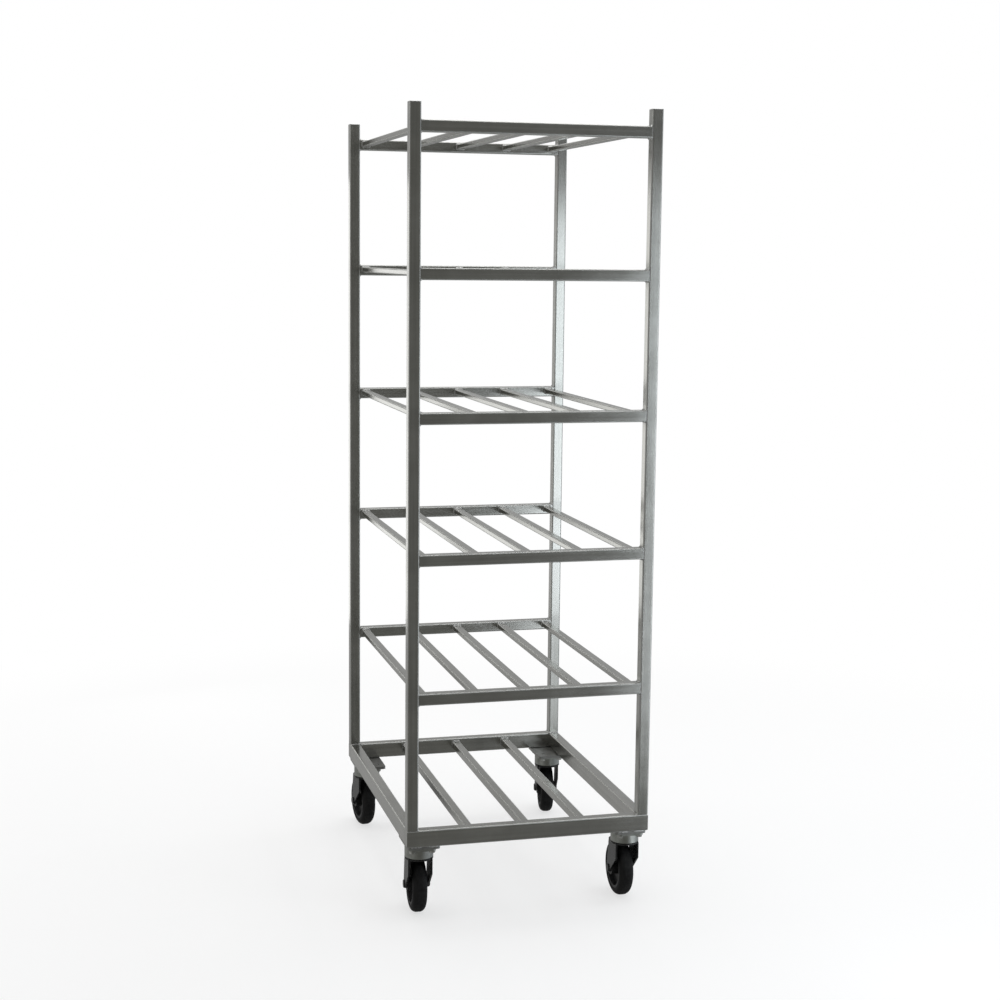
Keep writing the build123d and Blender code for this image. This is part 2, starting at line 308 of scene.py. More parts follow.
@dataclass(frozen=True)
class DrawnAluminium:
    """Satin aluminium tube with die lines, clouded oxide, worn corners and a dull haze beside its welds.

    Attributes:
        name: The material's name.
        run: Axis that the tube was drawn along.
        centre: Middle of the tube, or of the row of tubes.
        half: Half of the tube's size on the two axes across its run.
        spacing: Distance between equal tubes side by side along X, or 0 for one tube.
        joint_from_middle: Distance from the middle, along the run, to the welded joint.
        joint_spacing: Distance between joints that repeat along the run, or 0 for two ends.
        shade: Darker metal.
        bright: Lighter metal.
        worn: Metal on rubbed corners and scratches.
        hazed: Metal beside a weld.
        wear_reach: Distances from a face at which its corner's wear begins and is full.
        haze_reach: Distances from a joint at which its haze starts to fade and ends.
        die_lines: Fine lines along the run. Patterns with a direction are written for a run along X.
        streaks: Broader streaks along the run.
        clouds: Clouds of oxide.
        rubs: Scratches across the run.
        streak_share: Share of the streaks in the metal's tone, beside the clouds.
        tone_levels: Tones that give the darker and the lighter metal.
        haze_least: Haze where the clouds are thinnest.
        haze_in_clouds: Haze that the clouds add.
        haze_strength: Share of the haze's colour where it is full.
        wear_strength: Share of the worn colour on a corner.
        polish: Least roughness.
        streak_roughness: Roughness that the streaks add.
        cloud_roughness: Roughness that the clouds add.
        haze_roughness: Roughness that the haze adds.
        wear_roughness: Roughness that a worn corner adds.
        relief: Relief of the die lines.
        streak_relief: Height of the streaks, as a share of the lines'.
    """

    name: str
    run: Run
    centre: Vector
    half: Span
    spacing: float = 0.0
    joint_from_middle: float = 0.0
    joint_spacing: float = 0.0
    shade: Colour = (0.37, 0.37, 0.348)
    bright: Colour = (0.47, 0.47, 0.448)
    worn: Colour = (0.6, 0.605, 0.59)
    hazed: Colour = (0.31, 0.31, 0.293)
    wear_reach: Span = (3.2 * MM, 0.6 * MM)
    haze_reach: Span = (4 * MM, 24 * MM)
    die_lines: Pattern = Pattern((7.0, 1400.0, 1400.0))
    streaks: Pattern = Pattern((2.2, 150.0, 150.0), detail=4.0)
    clouds: Pattern = Pattern(13.0, detail=4.0, roughness=0.62)
    rubs: Marks = Marks(
        pattern=Pattern((420.0, 34.0, 34.0), levels=(0.66, 0.74)),
        patches=Pattern(5.0, detail=1.0, levels=(0.5, 0.62)),
        strength=0.35,
    )
    streak_share: float = 0.55
    tone_levels: Span = (0.3, 0.7)
    haze_least: float = 0.35
    haze_in_clouds: float = 0.5
    haze_strength: float = 0.6
    wear_strength: float = 0.75
    polish: float = 0.12
    streak_roughness: float = 0.09
    cloud_roughness: float = 0.09
    haze_roughness: float = 0.03
    wear_roughness: float = 0.55
    relief: Relief = Relief(0.05 * MM, 0.35)
    streak_relief: float = 0.4

    def _corner_wear(self, parts: Sequence[Wire]) -> Wire:
        """Find the tube's rounded corners.

        Args:
            parts: The three parts of the point on the piece.

        Returns:
            1 on a corner, falling to 0 on the flats.
        """
        start, full = self.wear_reach
        near = []
        for axis, half in zip(self.run.across, self.half):
            offset = parts[axis] - self.centre[axis]
            if axis == Run.X.value and self.spacing:
                offset = offset.wrapped(self.spacing)
            near.append(abs(offset).step(half - start, half - full))
        return near[0] * near[1]

    def _weld_haze(self, parts: Sequence[Wire]) -> Wire:
        """Find the stretches beside the tube's welds.

        Args:
            parts: The three parts of the point on the piece.

        Returns:
            1 at a welded joint, falling to 0 along the tube.
        """
        along = abs(parts[self.run.value] - self.centre[self.run.value])
        offset = along - self.joint_from_middle
        if self.joint_spacing:
            offset = offset.wrapped(self.joint_spacing)
        return 1 - abs(offset).step(*self.haze_reach)

    def build(self) -> Material:
        """Make the finish.

        Returns:
            The material.
        """
        material, graph = NodeGraph.of_material(self.name)
        place = graph.place()
        parts = graph.split(place)
        lines = graph.noise(place, self.die_lines.along(self.run))
        streaks = graph.noise(place, self.streaks.along(self.run))
        clouds = graph.noise(place, self.clouds)
        rubbed = replace(self.rubs, pattern=self.rubs.pattern.along(self.run)).draw(graph, place)
        wear = self._corner_wear(parts)
        haze = self._weld_haze(parts) * (self.haze_least + self.haze_in_clouds * clouds)
        tone = self.streak_share * streaks + (1 - self.streak_share) * clouds
        bared = self.wear_strength * wear + self.rubs.strength * rubbed
        colour = graph.mix(tone.step(*self.tone_levels), self.shade, self.bright)
        colour = graph.mix(self.haze_strength * haze, colour, self.hazed)
        colour = graph.mix(bared.at_most(1.0), colour, self.worn)
        roughness = self.polish + self.streak_roughness * streaks + self.cloud_roughness * clouds
        roughness = roughness + self.haze_roughness * haze + self.wear_roughness * wear
        graph.surface(
            {
                "Base Color": colour,
                "Metallic": 1.0,
                "Roughness": roughness,
                "Normal": self.relief.over(graph, lines + self.streak_relief * streaks),
            }
        )
        return material


@dataclass(frozen=True, kw_only=True)
class Mottled:
    """A finish without a direction: two mottled colours over a fine grain, with marks of wear on them.

    Attributes:
        name: The material's name.
        low: Colour where the mottle is low.
        high: Colour where it is high.
        marked: Colour of the marks.
        roughness: Middle roughness.
        spread: Roughness that the mottle's full range adds.
        metallic: 1 for metal, or 0.
        specular: Level of the reflection from what isn't metal.
        mottle: Pattern of the mottle.
        grain: Pattern of the fine grain.
        relief: Relief of the grain.
        mottle_relief: Height of the mottle, as a share of the grain's.
        marks: Scratches and specks.
    """

    name: str
    low: Colour
    high: Colour
    marked: Colour = WHITE
    roughness: float
    spread: float = 0.18
    metallic: float = 0.0
    specular: float = 0.5
    mottle: Pattern
    grain: Pattern
    relief: Relief
    mottle_relief: float = 1.0
    marks: tuple[Marks, ...] = ()

    def _zone(self, graph: NodeGraph, place: Wire) -> Operand:
        """Give 1 where the higher colour and the marks show, which is everywhere."""
        return 1.0

    def build(self) -> Material:
        """Make the finish.

        Returns:
            The material.
        """
        material, graph = NodeGraph.of_material(self.name)
        place = graph.place()
        zone = self._zone(graph, place)
        mottle = graph.noise(place, self.mottle)
        grain = graph.noise(place, self.grain)
        colour = graph.mix(zone * mottle.step(*self.mottle.levels), self.low, self.high)
        roughness = self.roughness - self.spread / 2 + self.spread * mottle
        share: Operand = 0.0
        for marks in self.marks:
            drawn = marks.draw(graph, place)
            share = share + marks.strength * drawn
            roughness = roughness + marks.roughness * drawn
        if self.marks:
            colour = graph.mix((zone * share).at_most(1.0), colour, self.marked)
        graph.surface(
            {
                "Base Color": colour,
                "Metallic": self.metallic,
                "Roughness": roughness,
                "Specular IOR Level": self.specular,
                "Normal": self.relief.over(graph, grain + self.mottle_relief * mottle),
            }
        )
        return material


@dataclass(frozen=True, kw_only=True)
class PlainMetal(Mottled):
    """Plated or mill metal with scuffs in patches."""

    metallic: float = 1.0
    mottle: Pattern = Pattern(45.0, detail=5.0, roughness=0.65)
    grain: Pattern = Pattern(900.0)
    relief: Relief = Relief(0.05 * MM, 0.3)
    marks: tuple[Marks, ...] = (
        Marks(
            pattern=Pattern((60.0, 500.0, 90.0), levels=(0.68, 0.76)),
            patches=Pattern(22.0, detail=1.0, levels=(0.48, 0.6)),
            strength=0.6,
            roughness=0.06,
        ),
    )


@dataclass(frozen=True, kw_only=True)
class WeldMetal(Mottled):
    """Bead of weld as laid: smooth bright spots and rough grey smut between them."""

    low: Colour = (0.24, 0.24, 0.235)
    high: Colour = (0.58, 0.58, 0.57)
    roughness: float = 0.43
    spread: float = -0.26
    metallic: float = 1.0
    mottle: Pattern = Pattern(260.0, detail=4.0, roughness=0.6, levels=(0.32, 0.62))
    grain: Pattern = Pattern(1500.0)
    relief: Relief = Relief(0.12 * MM, 0.4)


@dataclass(frozen=True, kw_only=True)
class MouldedPlastic(Mottled):
    """Moulded plastic with a fine grain and a little handling haze."""

    roughness: float = 0.5
    spread: float = 0.16
    mottle: Pattern = Pattern(55.0, detail=4.0, roughness=0.6, levels=(0.45, 0.75))
    grain: Pattern = Pattern(1300.0)
    relief: Relief = Relief(0.04 * MM, 0.5)
    mottle_relief: float = 0.0


@dataclass(frozen=True, kw_only=True)
class BlackEnamel(Mottled):
    """Gloss black paint on pressed steel: a soft orange peel, hazed patches, fine scratches and dust."""

    low: Colour = (0.006, 0.006, 0.0062)
    high: Colour = (0.016, 0.016, 0.0155)
    marked: Colour = (0.085, 0.085, 0.08)
    roughness: float = 0.28
    spread: float = 0.16
    specular: float = 0.35
    mottle: Pattern = Pattern(60.0, detail=4.0, roughness=0.6, levels=(0.4, 0.7))
    grain: Pattern = Pattern(420.0)
    relief: Relief = Relief(0.04 * MM, 0.5)
    mottle_relief: float = 0.0
    marks: tuple[Marks, ...] = (
        Marks(
            pattern=Pattern((90.0, 700.0, 60.0), levels=(0.7, 0.76)),
            patches=Pattern(26.0, detail=1.0, levels=(0.5, 0.62)),
            strength=0.5,
            roughness=0.2,
        ),
        Marks(pattern=Pattern(1100.0, levels=(0.66, 0.74)), strength=0.25, roughness=0.15),
    )


@dataclass(frozen=True, kw_only=True)
class TyreRubber(Mottled):
    """Black tyre: matt moulded skin, and on its tread rubbed grey patches and pale floor dust.

    Attributes:
        axle: Middle of the wheel, which turns about X.
        tread: Distances from the axle at which the tread begins and ends.
    """

    axle: Vector
    tread: Span
    low: Colour = (0.004, 0.004, 0.0042)
    high: Colour = (0.012, 0.012, 0.012)
    marked: Colour = (0.06, 0.057, 0.051)
    roughness: float = 0.63
    spread: float = 0.22
    specular: float = 0.18
    mottle: Pattern = Pattern(70.0, detail=4.0, roughness=0.6, levels=(0.3, 0.65))
    grain: Pattern = Pattern(650.0, detail=3.0, roughness=0.6)
    relief: Relief = Relief(0.08 * MM, 0.5)
    marks: tuple[Marks, ...] = (
        Marks(pattern=Pattern(650.0, detail=3.0, roughness=0.6, levels=(0.58, 0.72)), strength=0.35),
    )

    def _zone(self, graph: NodeGraph, place: Wire) -> Operand:
        """Give 1 on the outside of the tread, falling to 0 at its inner edge.

        Args:
            graph: The material's graph.
            place: The point on the piece.

        Returns:
            A value from 0 to 1.
        """
        across = graph.vector_math("MULTIPLY", {0: place, 1: (0.0, 1.0, 1.0)})
        axle = (0.0, self.axle.y, self.axle.z)
        return graph.vector_math("DISTANCE", {0: across, 1: axle}).step(*self.tread)


def dress(node: str, material: Material) -> None:
    """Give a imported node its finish.

    Args:
        node: The node's name.
        material: The finish.
    """
    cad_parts[node].data.materials[0] = material
    LOG.info("%s has the finish %s", node, material.name)


def add_object(name: str, data: bpy.types.ID) -> bpy.types.Object:
    """Put a mesh, lamp or camera in the scene.

    Args:
        name: The object's name.
        data: What it shows.

    Returns:
        The object.
    """
    added = bpy.data.objects.new(name, data)
    bpy.context.scene.collection.objects.link(added)
    return added


def as_mesh(shape: Shape, name: str) -> Mesh:
    """Turn a finished shape into a mesh.

    Args:
        shape: The shape, which is freed.
        name: The mesh's name.

    Returns:
        The mesh.
    """
    mesh = bpy.data.meshes.new(name)
    shape.to_mesh(mesh)
    shape.free()
    return mesh


def add_piece(name: str, shape: Shape, body: str, material: Material) -> None:
    """Turn a finished shape into a piece that rides on a body.

    Args:
        name: The piece's name.
        shape: Its shape, in place.
        body: The body that carries it.
        material: Its finish.
    """
    bmesh.ops.recalc_face_normals(shape, faces=shape.faces)
    mesh = as_mesh(shape, name)
    mesh.shade_smooth()
    mesh.materials.append(material)
    piece = add_object(name, mesh)
    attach(piece, body)
    LOG.info("%s rides on %s with %d faces", name, body, len(mesh.polygons))


@dataclass
class WeldBead:
    """A rippled bead of weld, swept from a round section.

    Attributes:
        radius: Radius of the bead's section.
        ripple: Length of one ripple.
        valley: Share of the radius left between two ripples.
        tip: Share of the radius left at a stitch's ends.
        sides: Sides of the section.
        bend_steps: Steps in each quarter turn.
        merge_within: Distance within which a loop's two ends are merged.
    """

    radius: float = 2.2 * MM
    ripple: float = 2.4 * MM
    valley: float = 0.86
    tip: float = 0.35
    sides: int = 10
    bend_steps: int = 4
    merge_within: float = 0.044 * MM

    def _section(self, shape: Shape, start: Vector) -> Ring:
        """Start a bead that heads along X, and give its first section."""
        matrix = Matrix.Translation(start) @ Matrix.Rotation(QUARTER_TURN, 4, "Y")
        return bmesh.ops.create_circle(shape, segments=self.sides, radius=self.radius, matrix=matrix)["verts"]

    @staticmethod
    def _ring_edges(ring: Ring) -> list[bmesh.types.BMEdge]:
        """Give the edges that join a ring's own vertices."""
        members = set(ring)
        return [edge for edge in {e for v in ring for e in v.link_edges} if members.issuperset(edge.verts)]

    @staticmethod
    def _vertices(geometry: Iterable[Any]) -> Ring:
        """Give the vertices among an operator's results."""
        return [item for item in geometry if isinstance(item, bmesh.types.BMVert)]

    @staticmethod
    def _swell(shape: Shape, ring: Ring, factor: float) -> None:
        """Scale a ring about its own middle."""
        middle = sum((vert.co for vert in ring), Vector()) / len(ring)
        bmesh.ops.scale(shape, vec=Vector((factor,) * 3), space=Matrix.Translation(-middle), verts=ring)

    def _extend(self, shape: Shape, ring: Ring, move: Vector, factor: float) -> Ring:
        """Draw a bead out to its next section.

        Args:
            shape: Shape that holds it.
            ring: Its last section.
            move: Way to the next one.
            factor: Size of the next one, as a share of the last.

        Returns:
            The next section.
        """
        made = bmesh.ops.extrude_edge_only(shape, edges=self._ring_edges(ring))
        ring = self._vertices(made["geom"])
        bmesh.ops.translate(shape, vec=move, verts=ring)
        self._swell(shape, ring, factor)
        return ring

    def _run(self, shape: Shape, ring: Ring, heading: Vector, length: float) -> Ring:
        """Lay a straight, rippled stretch.

        Args:
            shape: Shape to lay it in.
            ring: Section to start from.
            heading: Direction, of unit length.
            length: Length of the stretch.

        Returns:
            The last section.
        """
        steps = 2 * max(1, round(length / self.ripple))
        for step in range(steps):
            factor = self.valley if step % 2 == 0 else 1 / self.valley
            ring = self._extend(shape, ring, heading * length / steps, factor)
        return ring

    def loop(self, half_u: float, half_v: float, corner: float) -> Mesh:
        """Make a bead that goes once round a rounded rectangle in the XY plane.

        Args:
            half_u: Half of the rectangle's size along X.
            half_v: Half of its size along Y.
            corner: Radius of its corners.

        Returns:
            A mesh about the origin.
        """
        shape = bmesh.new()
        place = Vector((corner - half_u, -half_v, 0))
        heading = Vector((1, 0, 0))
        quarter = Matrix.Rotation(QUARTER_TURN, 3, "Z")
        ring = self._section(shape, place)
        for half in (half_u, half_v, half_u, half_v):
            length = 2 * (half - corner)
            ring = self._run(shape, ring, heading, length)
            place = place + heading * length
            turned = quarter @ heading
            centre = place + turned * corner
            bent = bmesh.ops.spin(
                shape,
                geom=list(ring) + self._ring_edges(ring),
                cent=centre,
                axis=(0, 0, 1),
                angle=QUARTER_TURN,
                steps=self.bend_steps,
            )
            ring = self._vertices(bent["geom_last"])
            place = centre + heading * corner
            heading = turned
        bmesh.ops.remove_doubles(shape, verts=shape.verts, dist=self.merge_within)
        return as_mesh(shape, "weld_loop")

    def stitch(self, length: float) -> Mesh:
        """Make a straight bead along X with rounded ends.

        Args:
            length: Length between its ends.

        Returns:
            A mesh about the origin.
        """
        shape = bmesh.new()
        heading = Vector((1, 0, 0))
        ring = self._section(shape, -heading * length / 2)
        self._swell(shape, ring, self.tip)
        bmesh.ops.edgeloop_fill(shape, edges=self._ring_edges(ring))
        ring = self._extend(shape, ring, heading * self.radius, 1 / self.tip)
        ring = self._run(shape, ring, heading, length - 2 * self.radius)
        ring = self._extend(shape, ring, heading * self.radius, self.tip)
        bmesh.ops.edgeloop_fill(shape, edges=self._ring_edges(ring))
        return as_mesh(shape, "weld_stitch")


def lay(shape: Shape, template: Mesh, matrix: Matrix) -> None:
    """Add a copy of a bead to a shape.

    Args:
        shape: Shape to add it to.
        template: The bead, about the origin.
        matrix: Where it goes.
    """
    already = len(shape.verts)
    shape.from_mesh(template)
    shape.verts.ensure_lookup_table()
    bmesh.ops.transform(shape, matrix=matrix, verts=shape.verts[already:])


def middle_and_half(node: str) -> tuple[Vector, Vector]:
    """Give the middle of a node's box and half of its size."""
    low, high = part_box(node)
    return (low + high) / 2, (high - low) / 2


def tube_finish(node: str, run: Run, joint_inset: float = 0.0) -> Material:
    """Make the finish of one tube from its box.

    Args:
        node: The tube's node.
        run: Axis that it was drawn along.
        joint_inset: Distance of its welds from its ends.

    Returns:
        The material.
    """
    middle, half = middle_and_half(node)
    return DrawnAluminium(
        name=f"drawn_{node}",
        run=run,
        centre=middle,
        half=tuple(half[axis] for axis in run.across),
        joint_from_middle=half[run.value] - joint_inset,
    ).build()


@dataclass
class SlatRow:
    """A row of slats that share one node.

    Attributes:
        node: The row's node.
        count: Number of slats.
        width: Width of one slat.
        corner: Radius of the bead's path at a slat's corners.
    """

    node: str
    count: int
    width: float = 19.05 * MM
    corner: float = 2.6 * MM

    def __post_init__(self) -> None:
        """Work out the slats' places from the row's box."""
        self.middle, self.half = middle_and_half(self.node)
        self.spacing = (2 * self.half.x - self.width) / (self.count - 1)

    def _shift(self) -> float:
        """Give the offset that puts the repeat's zero on a slat."""
        return 0.0 if self.count % 2 else self.spacing / 2

    def dress(self) -> None:
        """Give the row its finish."""
        finish = DrawnAluminium(
            name=f"drawn_{self.node}",
            run=Run.Y,
            centre=self.middle + Vector((self._shift(), 0, 0)),
            half=(self.half.z, self.width / 2),
            spacing=self.spacing,
            joint_from_middle=self.half.y,
        )
        dress(self.node, finish.build())

    def add_welds(self, shape: Shape, bead: WeldBead) -> None:
        """Lay a bead round both ends of each slat.

        Args:
            shape: Shape to lay them in.
            bead: The bead's section.
        """
        template = bead.loop(self.width / 2, self.half.z, self.corner)
        upright = Matrix.Rotation(QUARTER_TURN, 4, "X")
        for number in range(self.count):
            x = self.middle.x + (number - (self.count - 1) / 2) * self.spacing
            for side in SIDES:
                end = Vector((x, self.middle.y + side * self.half.y, self.middle.z))
                lay(shape, template, Matrix.Translation(end) @ upright)


@dataclass
class UpperShelf:
    """One upper shelf: two rails and a row of slats, welded between the posts.

    Attributes:
        number: Its number, counted from the lowest.
        bead: Section of its welds.
        slat_count: Number of slats.
        top_leg: How far a rail's bead stands on the rail's top and bottom.
        corner: Radius of the bead's path at a rail's corners.
    """

    number: int
    bead: WeldBead
    slat_count: int = 5
    top_leg: float = 0.6 * MM
    corner: float = 2.4 * MM

    def build(self, weld: Material) -> None:
        """Dress the rails and slats and lay the welds.

        Args:
            weld: Finish of the welds.
        """
        slats = SlatRow(f"shelf_{self.number}_slats", self.slat_count)
        slats.dress()
        shape = bmesh.new()
        slats.add_welds(shape, self.bead)
        for place in ("front", "rear"):
            node = f"shelf_{self.number}_{place}_rail"
            dress(node, tube_finish(node, Run.X))
            self._weld_rail(shape, node)
        add_piece(f"shelf_{self.number}_welds", shape, "frame", weld)

    def _weld_rail(self, shape: Shape, node: str) -> None:
        """Lay a bead round both ends of a rail, flush with the faces that it shares with the posts.

        Args:
            shape: Shape to lay them in.
            node: The rail's node.
        """
        middle, half = middle_and_half(node)
        template = self.bead.loop(half.z + self.top_leg, half.y - self.bead.radius, self.corner)
        across = Matrix.Rotation(QUARTER_TURN, 4, "Y")
        for side in SIDES:
            end = middle + Vector((side * half.x, 0, 0))
            lay(shape, template, Matrix.Translation(end) @ across)


@dataclass
class Posts:
    """The four posts and their caps.

    Attributes:
        first_joint: Height of the lowest shelf's rails.
        shelf_spacing: Distance between two shelves.
        haze_reach: Distances from a rail's middle at which its welds' haze starts to fade and ends.
        cap: Finish of the caps.
    """

    first_joint: float
    shelf_spacing: float
    haze_reach: Span = (14 * MM, 34 * MM)
    cap: PlainMetal = PlainMetal(
        name="post_cap_aluminium", low=(0.38, 0.38, 0.37), high=(0.47, 0.47, 0.46),
        marked=(0.64, 0.65, 0.65), roughness=0.36,
    )

    def build(self) -> None:
        """Dress the posts, with a haze at each shelf, and their caps."""
        for corner in CORNERS:
            node = f"{corner}_post"
            middle, half = middle_and_half(node)
            finish = DrawnAluminium(
                name=f"drawn_{node}",
                run=Run.Z,
                centre=Vector((middle.x, middle.y, 0)),
                half=(half.x, half.y),
                joint_from_middle=self.first_joint,
                joint_spacing=self.shelf_spacing,
                haze_reach=self.haze_reach,
            )
            dress(node, finish.build())
        dress("post_caps", self.cap.build())


@dataclass
class BaseFrame:
    """The heavy base: mitred rails, slats, mounting plates, and the welds that join them to the posts.

    Attributes:
        bead: Section of its welds.
        slat_count: Number of slats.
        foot_shift: How far a post's foot bead is moved towards the inside.
        stitch_length: Length of one stitch along a mounting plate.
        stitch_proud: How far a stitch stands out from the plate's edge.
        stitch_places: Places of the stitches along an edge, as shares of half its length.
        corner: Radius of the bead's path round a post.
        plate: Finish of the mounting plates, whose metal is painted darker than the tubes' as shade under the
            rails.
    """

    bead: WeldBead
    slat_count: int = 3
    foot_shift: float = 1.5 * MM
    stitch_length: float = 24 * MM
    stitch_proud: float = 0.4 * MM
    stitch_places: Span = (-0.5, 0.5)
    corner: float = 3 * MM
    # The plates' low and high colours are darker than the tubes' aluminium: painted shade under the base
    # rails.
    plate: PlainMetal = PlainMetal(
        name="mount_plate_aluminium_painted_shade", low=(0.24, 0.24, 0.23), high=(0.34, 0.34, 0.33),
        marked=(0.52, 0.52, 0.51), roughness=0.42,
    )

    def build(self, weld: Material) -> None:
        """Dress the base and lay its welds.

        Args:
            weld: Finish of the welds.
        """
        for place, run in (("front", Run.X), ("rear", Run.X), ("left", Run.Y), ("right", Run.Y)):
            node = f"base_{place}_rail"
            half = middle_and_half(node)[1]
            dress(node, tube_finish(node, run, joint_inset=half[run.across[0]]))
        slats = SlatRow("base_slats", self.slat_count)
        slats.dress()
        plate = self.plate.build()
        shape = bmesh.new()
        slats.add_welds(shape, self.bead)
        for corner in CORNERS:
            dress(f"{corner}_mount_plate", plate)
            self._weld_foot(shape, corner)
            self._weld_plate(shape, corner)
        add_piece("base_welds", shape, "frame", weld)

    def _weld_foot(self, shape: Shape, corner: str) -> None:
        """Lay a bead round the foot of a post, flush with the base's outer faces.

        Args:
            shape: Shape to lay it in.
            corner: The post's corner.
        """
        middle, half = middle_and_half(f"{corner}_post")
        reach = half.x - self.bead.radius + self.foot_shift
        template = self.bead.loop(reach, reach, self.corner)
        inwards = Vector((-math.copysign(1, middle.x), -math.copysign(1, middle.y), 0))
        foot = Vector((middle.x, middle.y, middle.z - half.z)) + inwards * self.foot_shift
        lay(shape, template, Matrix.Translation(foot))

    def _weld_plate(self, shape: Shape, corner: str) -> None:
        """Lay stitches along the two outer edges of a mounting plate, under the rails.

        Args:
            shape: Shape to lay them in.
            corner: The plate's corner.
        """
        middle, half = middle_and_half(f"{corner}_mount_plate")
        template = self.bead.stitch(self.stitch_length)
        top = middle.z + half.z - self.stitch_proud
        edge_x = middle.x + math.copysign(half.x + self.stitch_proud, middle.x)
        edge_y = middle.y + math.copysign(half.y + self.stitch_proud, middle.y)
        turn = Matrix.Rotation(QUARTER_TURN, 4, "Z")
        for share in self.stitch_places:
            along_x = Vector((middle.x + share * half.x, edge_y, top))
            along_y = Vector((edge_x, middle.y + share * half.y, top))
            lay(shape, template, Matrix.Translation(along_x))
            lay(shape, template, Matrix.Translation(along_y) @ turn)


@dataclass
class Casters:
    """The four swivel casters.

    Attributes:
        tread_depth: Depth of the tyre's rubbed tread, from its outside.
        zinc: Finish of the top plates and their swivel housings.
        bright: Finish of the bolts.
        bearing: Finish of the axle sleeves, kingpins and balls.
        core: Finish of the wheel cores.
        bush: Finish of the wheel bushes.
        enamel: Finish of the forks and axles.
    """

    tread_depth: float = 9 * MM
    zinc: PlainMetal = PlainMetal(
        name="zinc_plated_steel", low=(0.27, 0.28, 0.26), high=(0.40, 0.41, 0.385),
        marked=(0.55, 0.55, 0.53), roughness=0.34,
    )
    bright: PlainMetal = PlainMetal(
        name="bright_fastener", low=(0.42, 0.42, 0.40), high=(0.56, 0.56, 0.54),
        marked=(0.7, 0.7, 0.69), roughness=0.27,
        mottle=replace(PlainMetal.mottle, density=120.0),
    )
    bearing: PlainMetal = PlainMetal(
        name="bearing_steel", low=(0.36, 0.36, 0.36), high=(0.46, 0.46, 0.46),
        marked=(0.6, 0.6, 0.6), roughness=0.22,
        mottle=replace(PlainMetal.mottle, density=150.0),
    )
    core: MouldedPlastic = MouldedPlastic(
        name="wheel_core_plastic", low=(0.008, 0.008, 0.0083), high=(0.018, 0.018, 0.018)
    )
    bush: MouldedPlastic = MouldedPlastic(
        name="bush_plastic", low=(0.30, 0.29, 0.26), high=(0.36, 0.35, 0.32)
    )
    enamel: BlackEnamel = BlackEnamel(name="black_enamel")

    def build(self) -> None:
        """Dress each caster's pieces, then the pieces that the four share a node for."""
        enamel = self.enamel.build()
        zinc = self.zinc.build()
        bearing = self.bearing.build()
        finishes = {
            "caster_plate": zinc,
            "fork": enamel,
            "axle": enamel,
            "axle_sleeve": bearing,
            "wheel_core": self.core.build(),
            "wheel_bush": self.bush.build(),
        }
        for corner in CORNERS:
            for piece, material in finishes.items():
                dress(f"{corner}_{piece}", material)
            middle, half = middle_and_half(f"{corner}_tyre")
            tread = (half.z - self.tread_depth, half.z)
            tyre = TyreRubber(name=f"tyre_{corner}", axle=middle, tread=tread)
            dress(f"{corner}_tyre", tyre.build())
        dress("kingpins", bearing)
        dress("swivel_balls", bearing)
        dress("caster_fasteners", self.bright.build())


@dataclass(frozen=True)
class Floor:
    """A pale floor that keeps the cart's shadow and is white further away.

    Attributes:
        radius: Radius of the floor.
        segments: Sides of its rim.
        colour: Colour under the lamps.
        fade: Distances from the origin at which the shadow starts to fade and has gone.
        least_white: Share of plain white near the cart.
    """

    radius: float = 14.0
    segments: int = 96
    colour: Colour = (0.9, 0.9, 0.9)
    fade: Span = (0.9, 2.6)
    least_white: float = 0.66

    def _finish(self) -> Material:
        """Make the floor's finish, whose white only the camera sees.

        Returns:
            The material.
        """
        material, graph = NodeGraph.of_material("pale_floor")
        open_floor = graph.vector_math("LENGTH", {0: graph.place()}).step(*self.fade)
        whiteness = self.least_white + (1 - self.least_white) * open_floor
        share = graph.ray("Is Camera Ray") * whiteness
        paper = graph.node("ShaderNodeBsdfDiffuse", sockets={"Color": self.colour})
        white = graph.node("ShaderNodeEmission", sockets={"Color": WHITE, "Strength": 1.0})
        blend = graph.node("ShaderNodeMixShader", sockets={0: share, 1: paper, 2: white})
        graph.node("ShaderNodeOutputMaterial", sockets={"Surface": blend})
        return material

    def build(self) -> None:
        """Lay the floor, which mirror rays pass so that low faces show the room's own tone."""
        shape = bmesh.new()
        bmesh.ops.create_circle(shape, cap_ends=True, segments=self.segments, radius=self.radius)
        mesh = as_mesh(shape, "floor")
        mesh.materials.append(self._finish())
        floor = add_object("floor", mesh)
        floor.visible_glossy = False


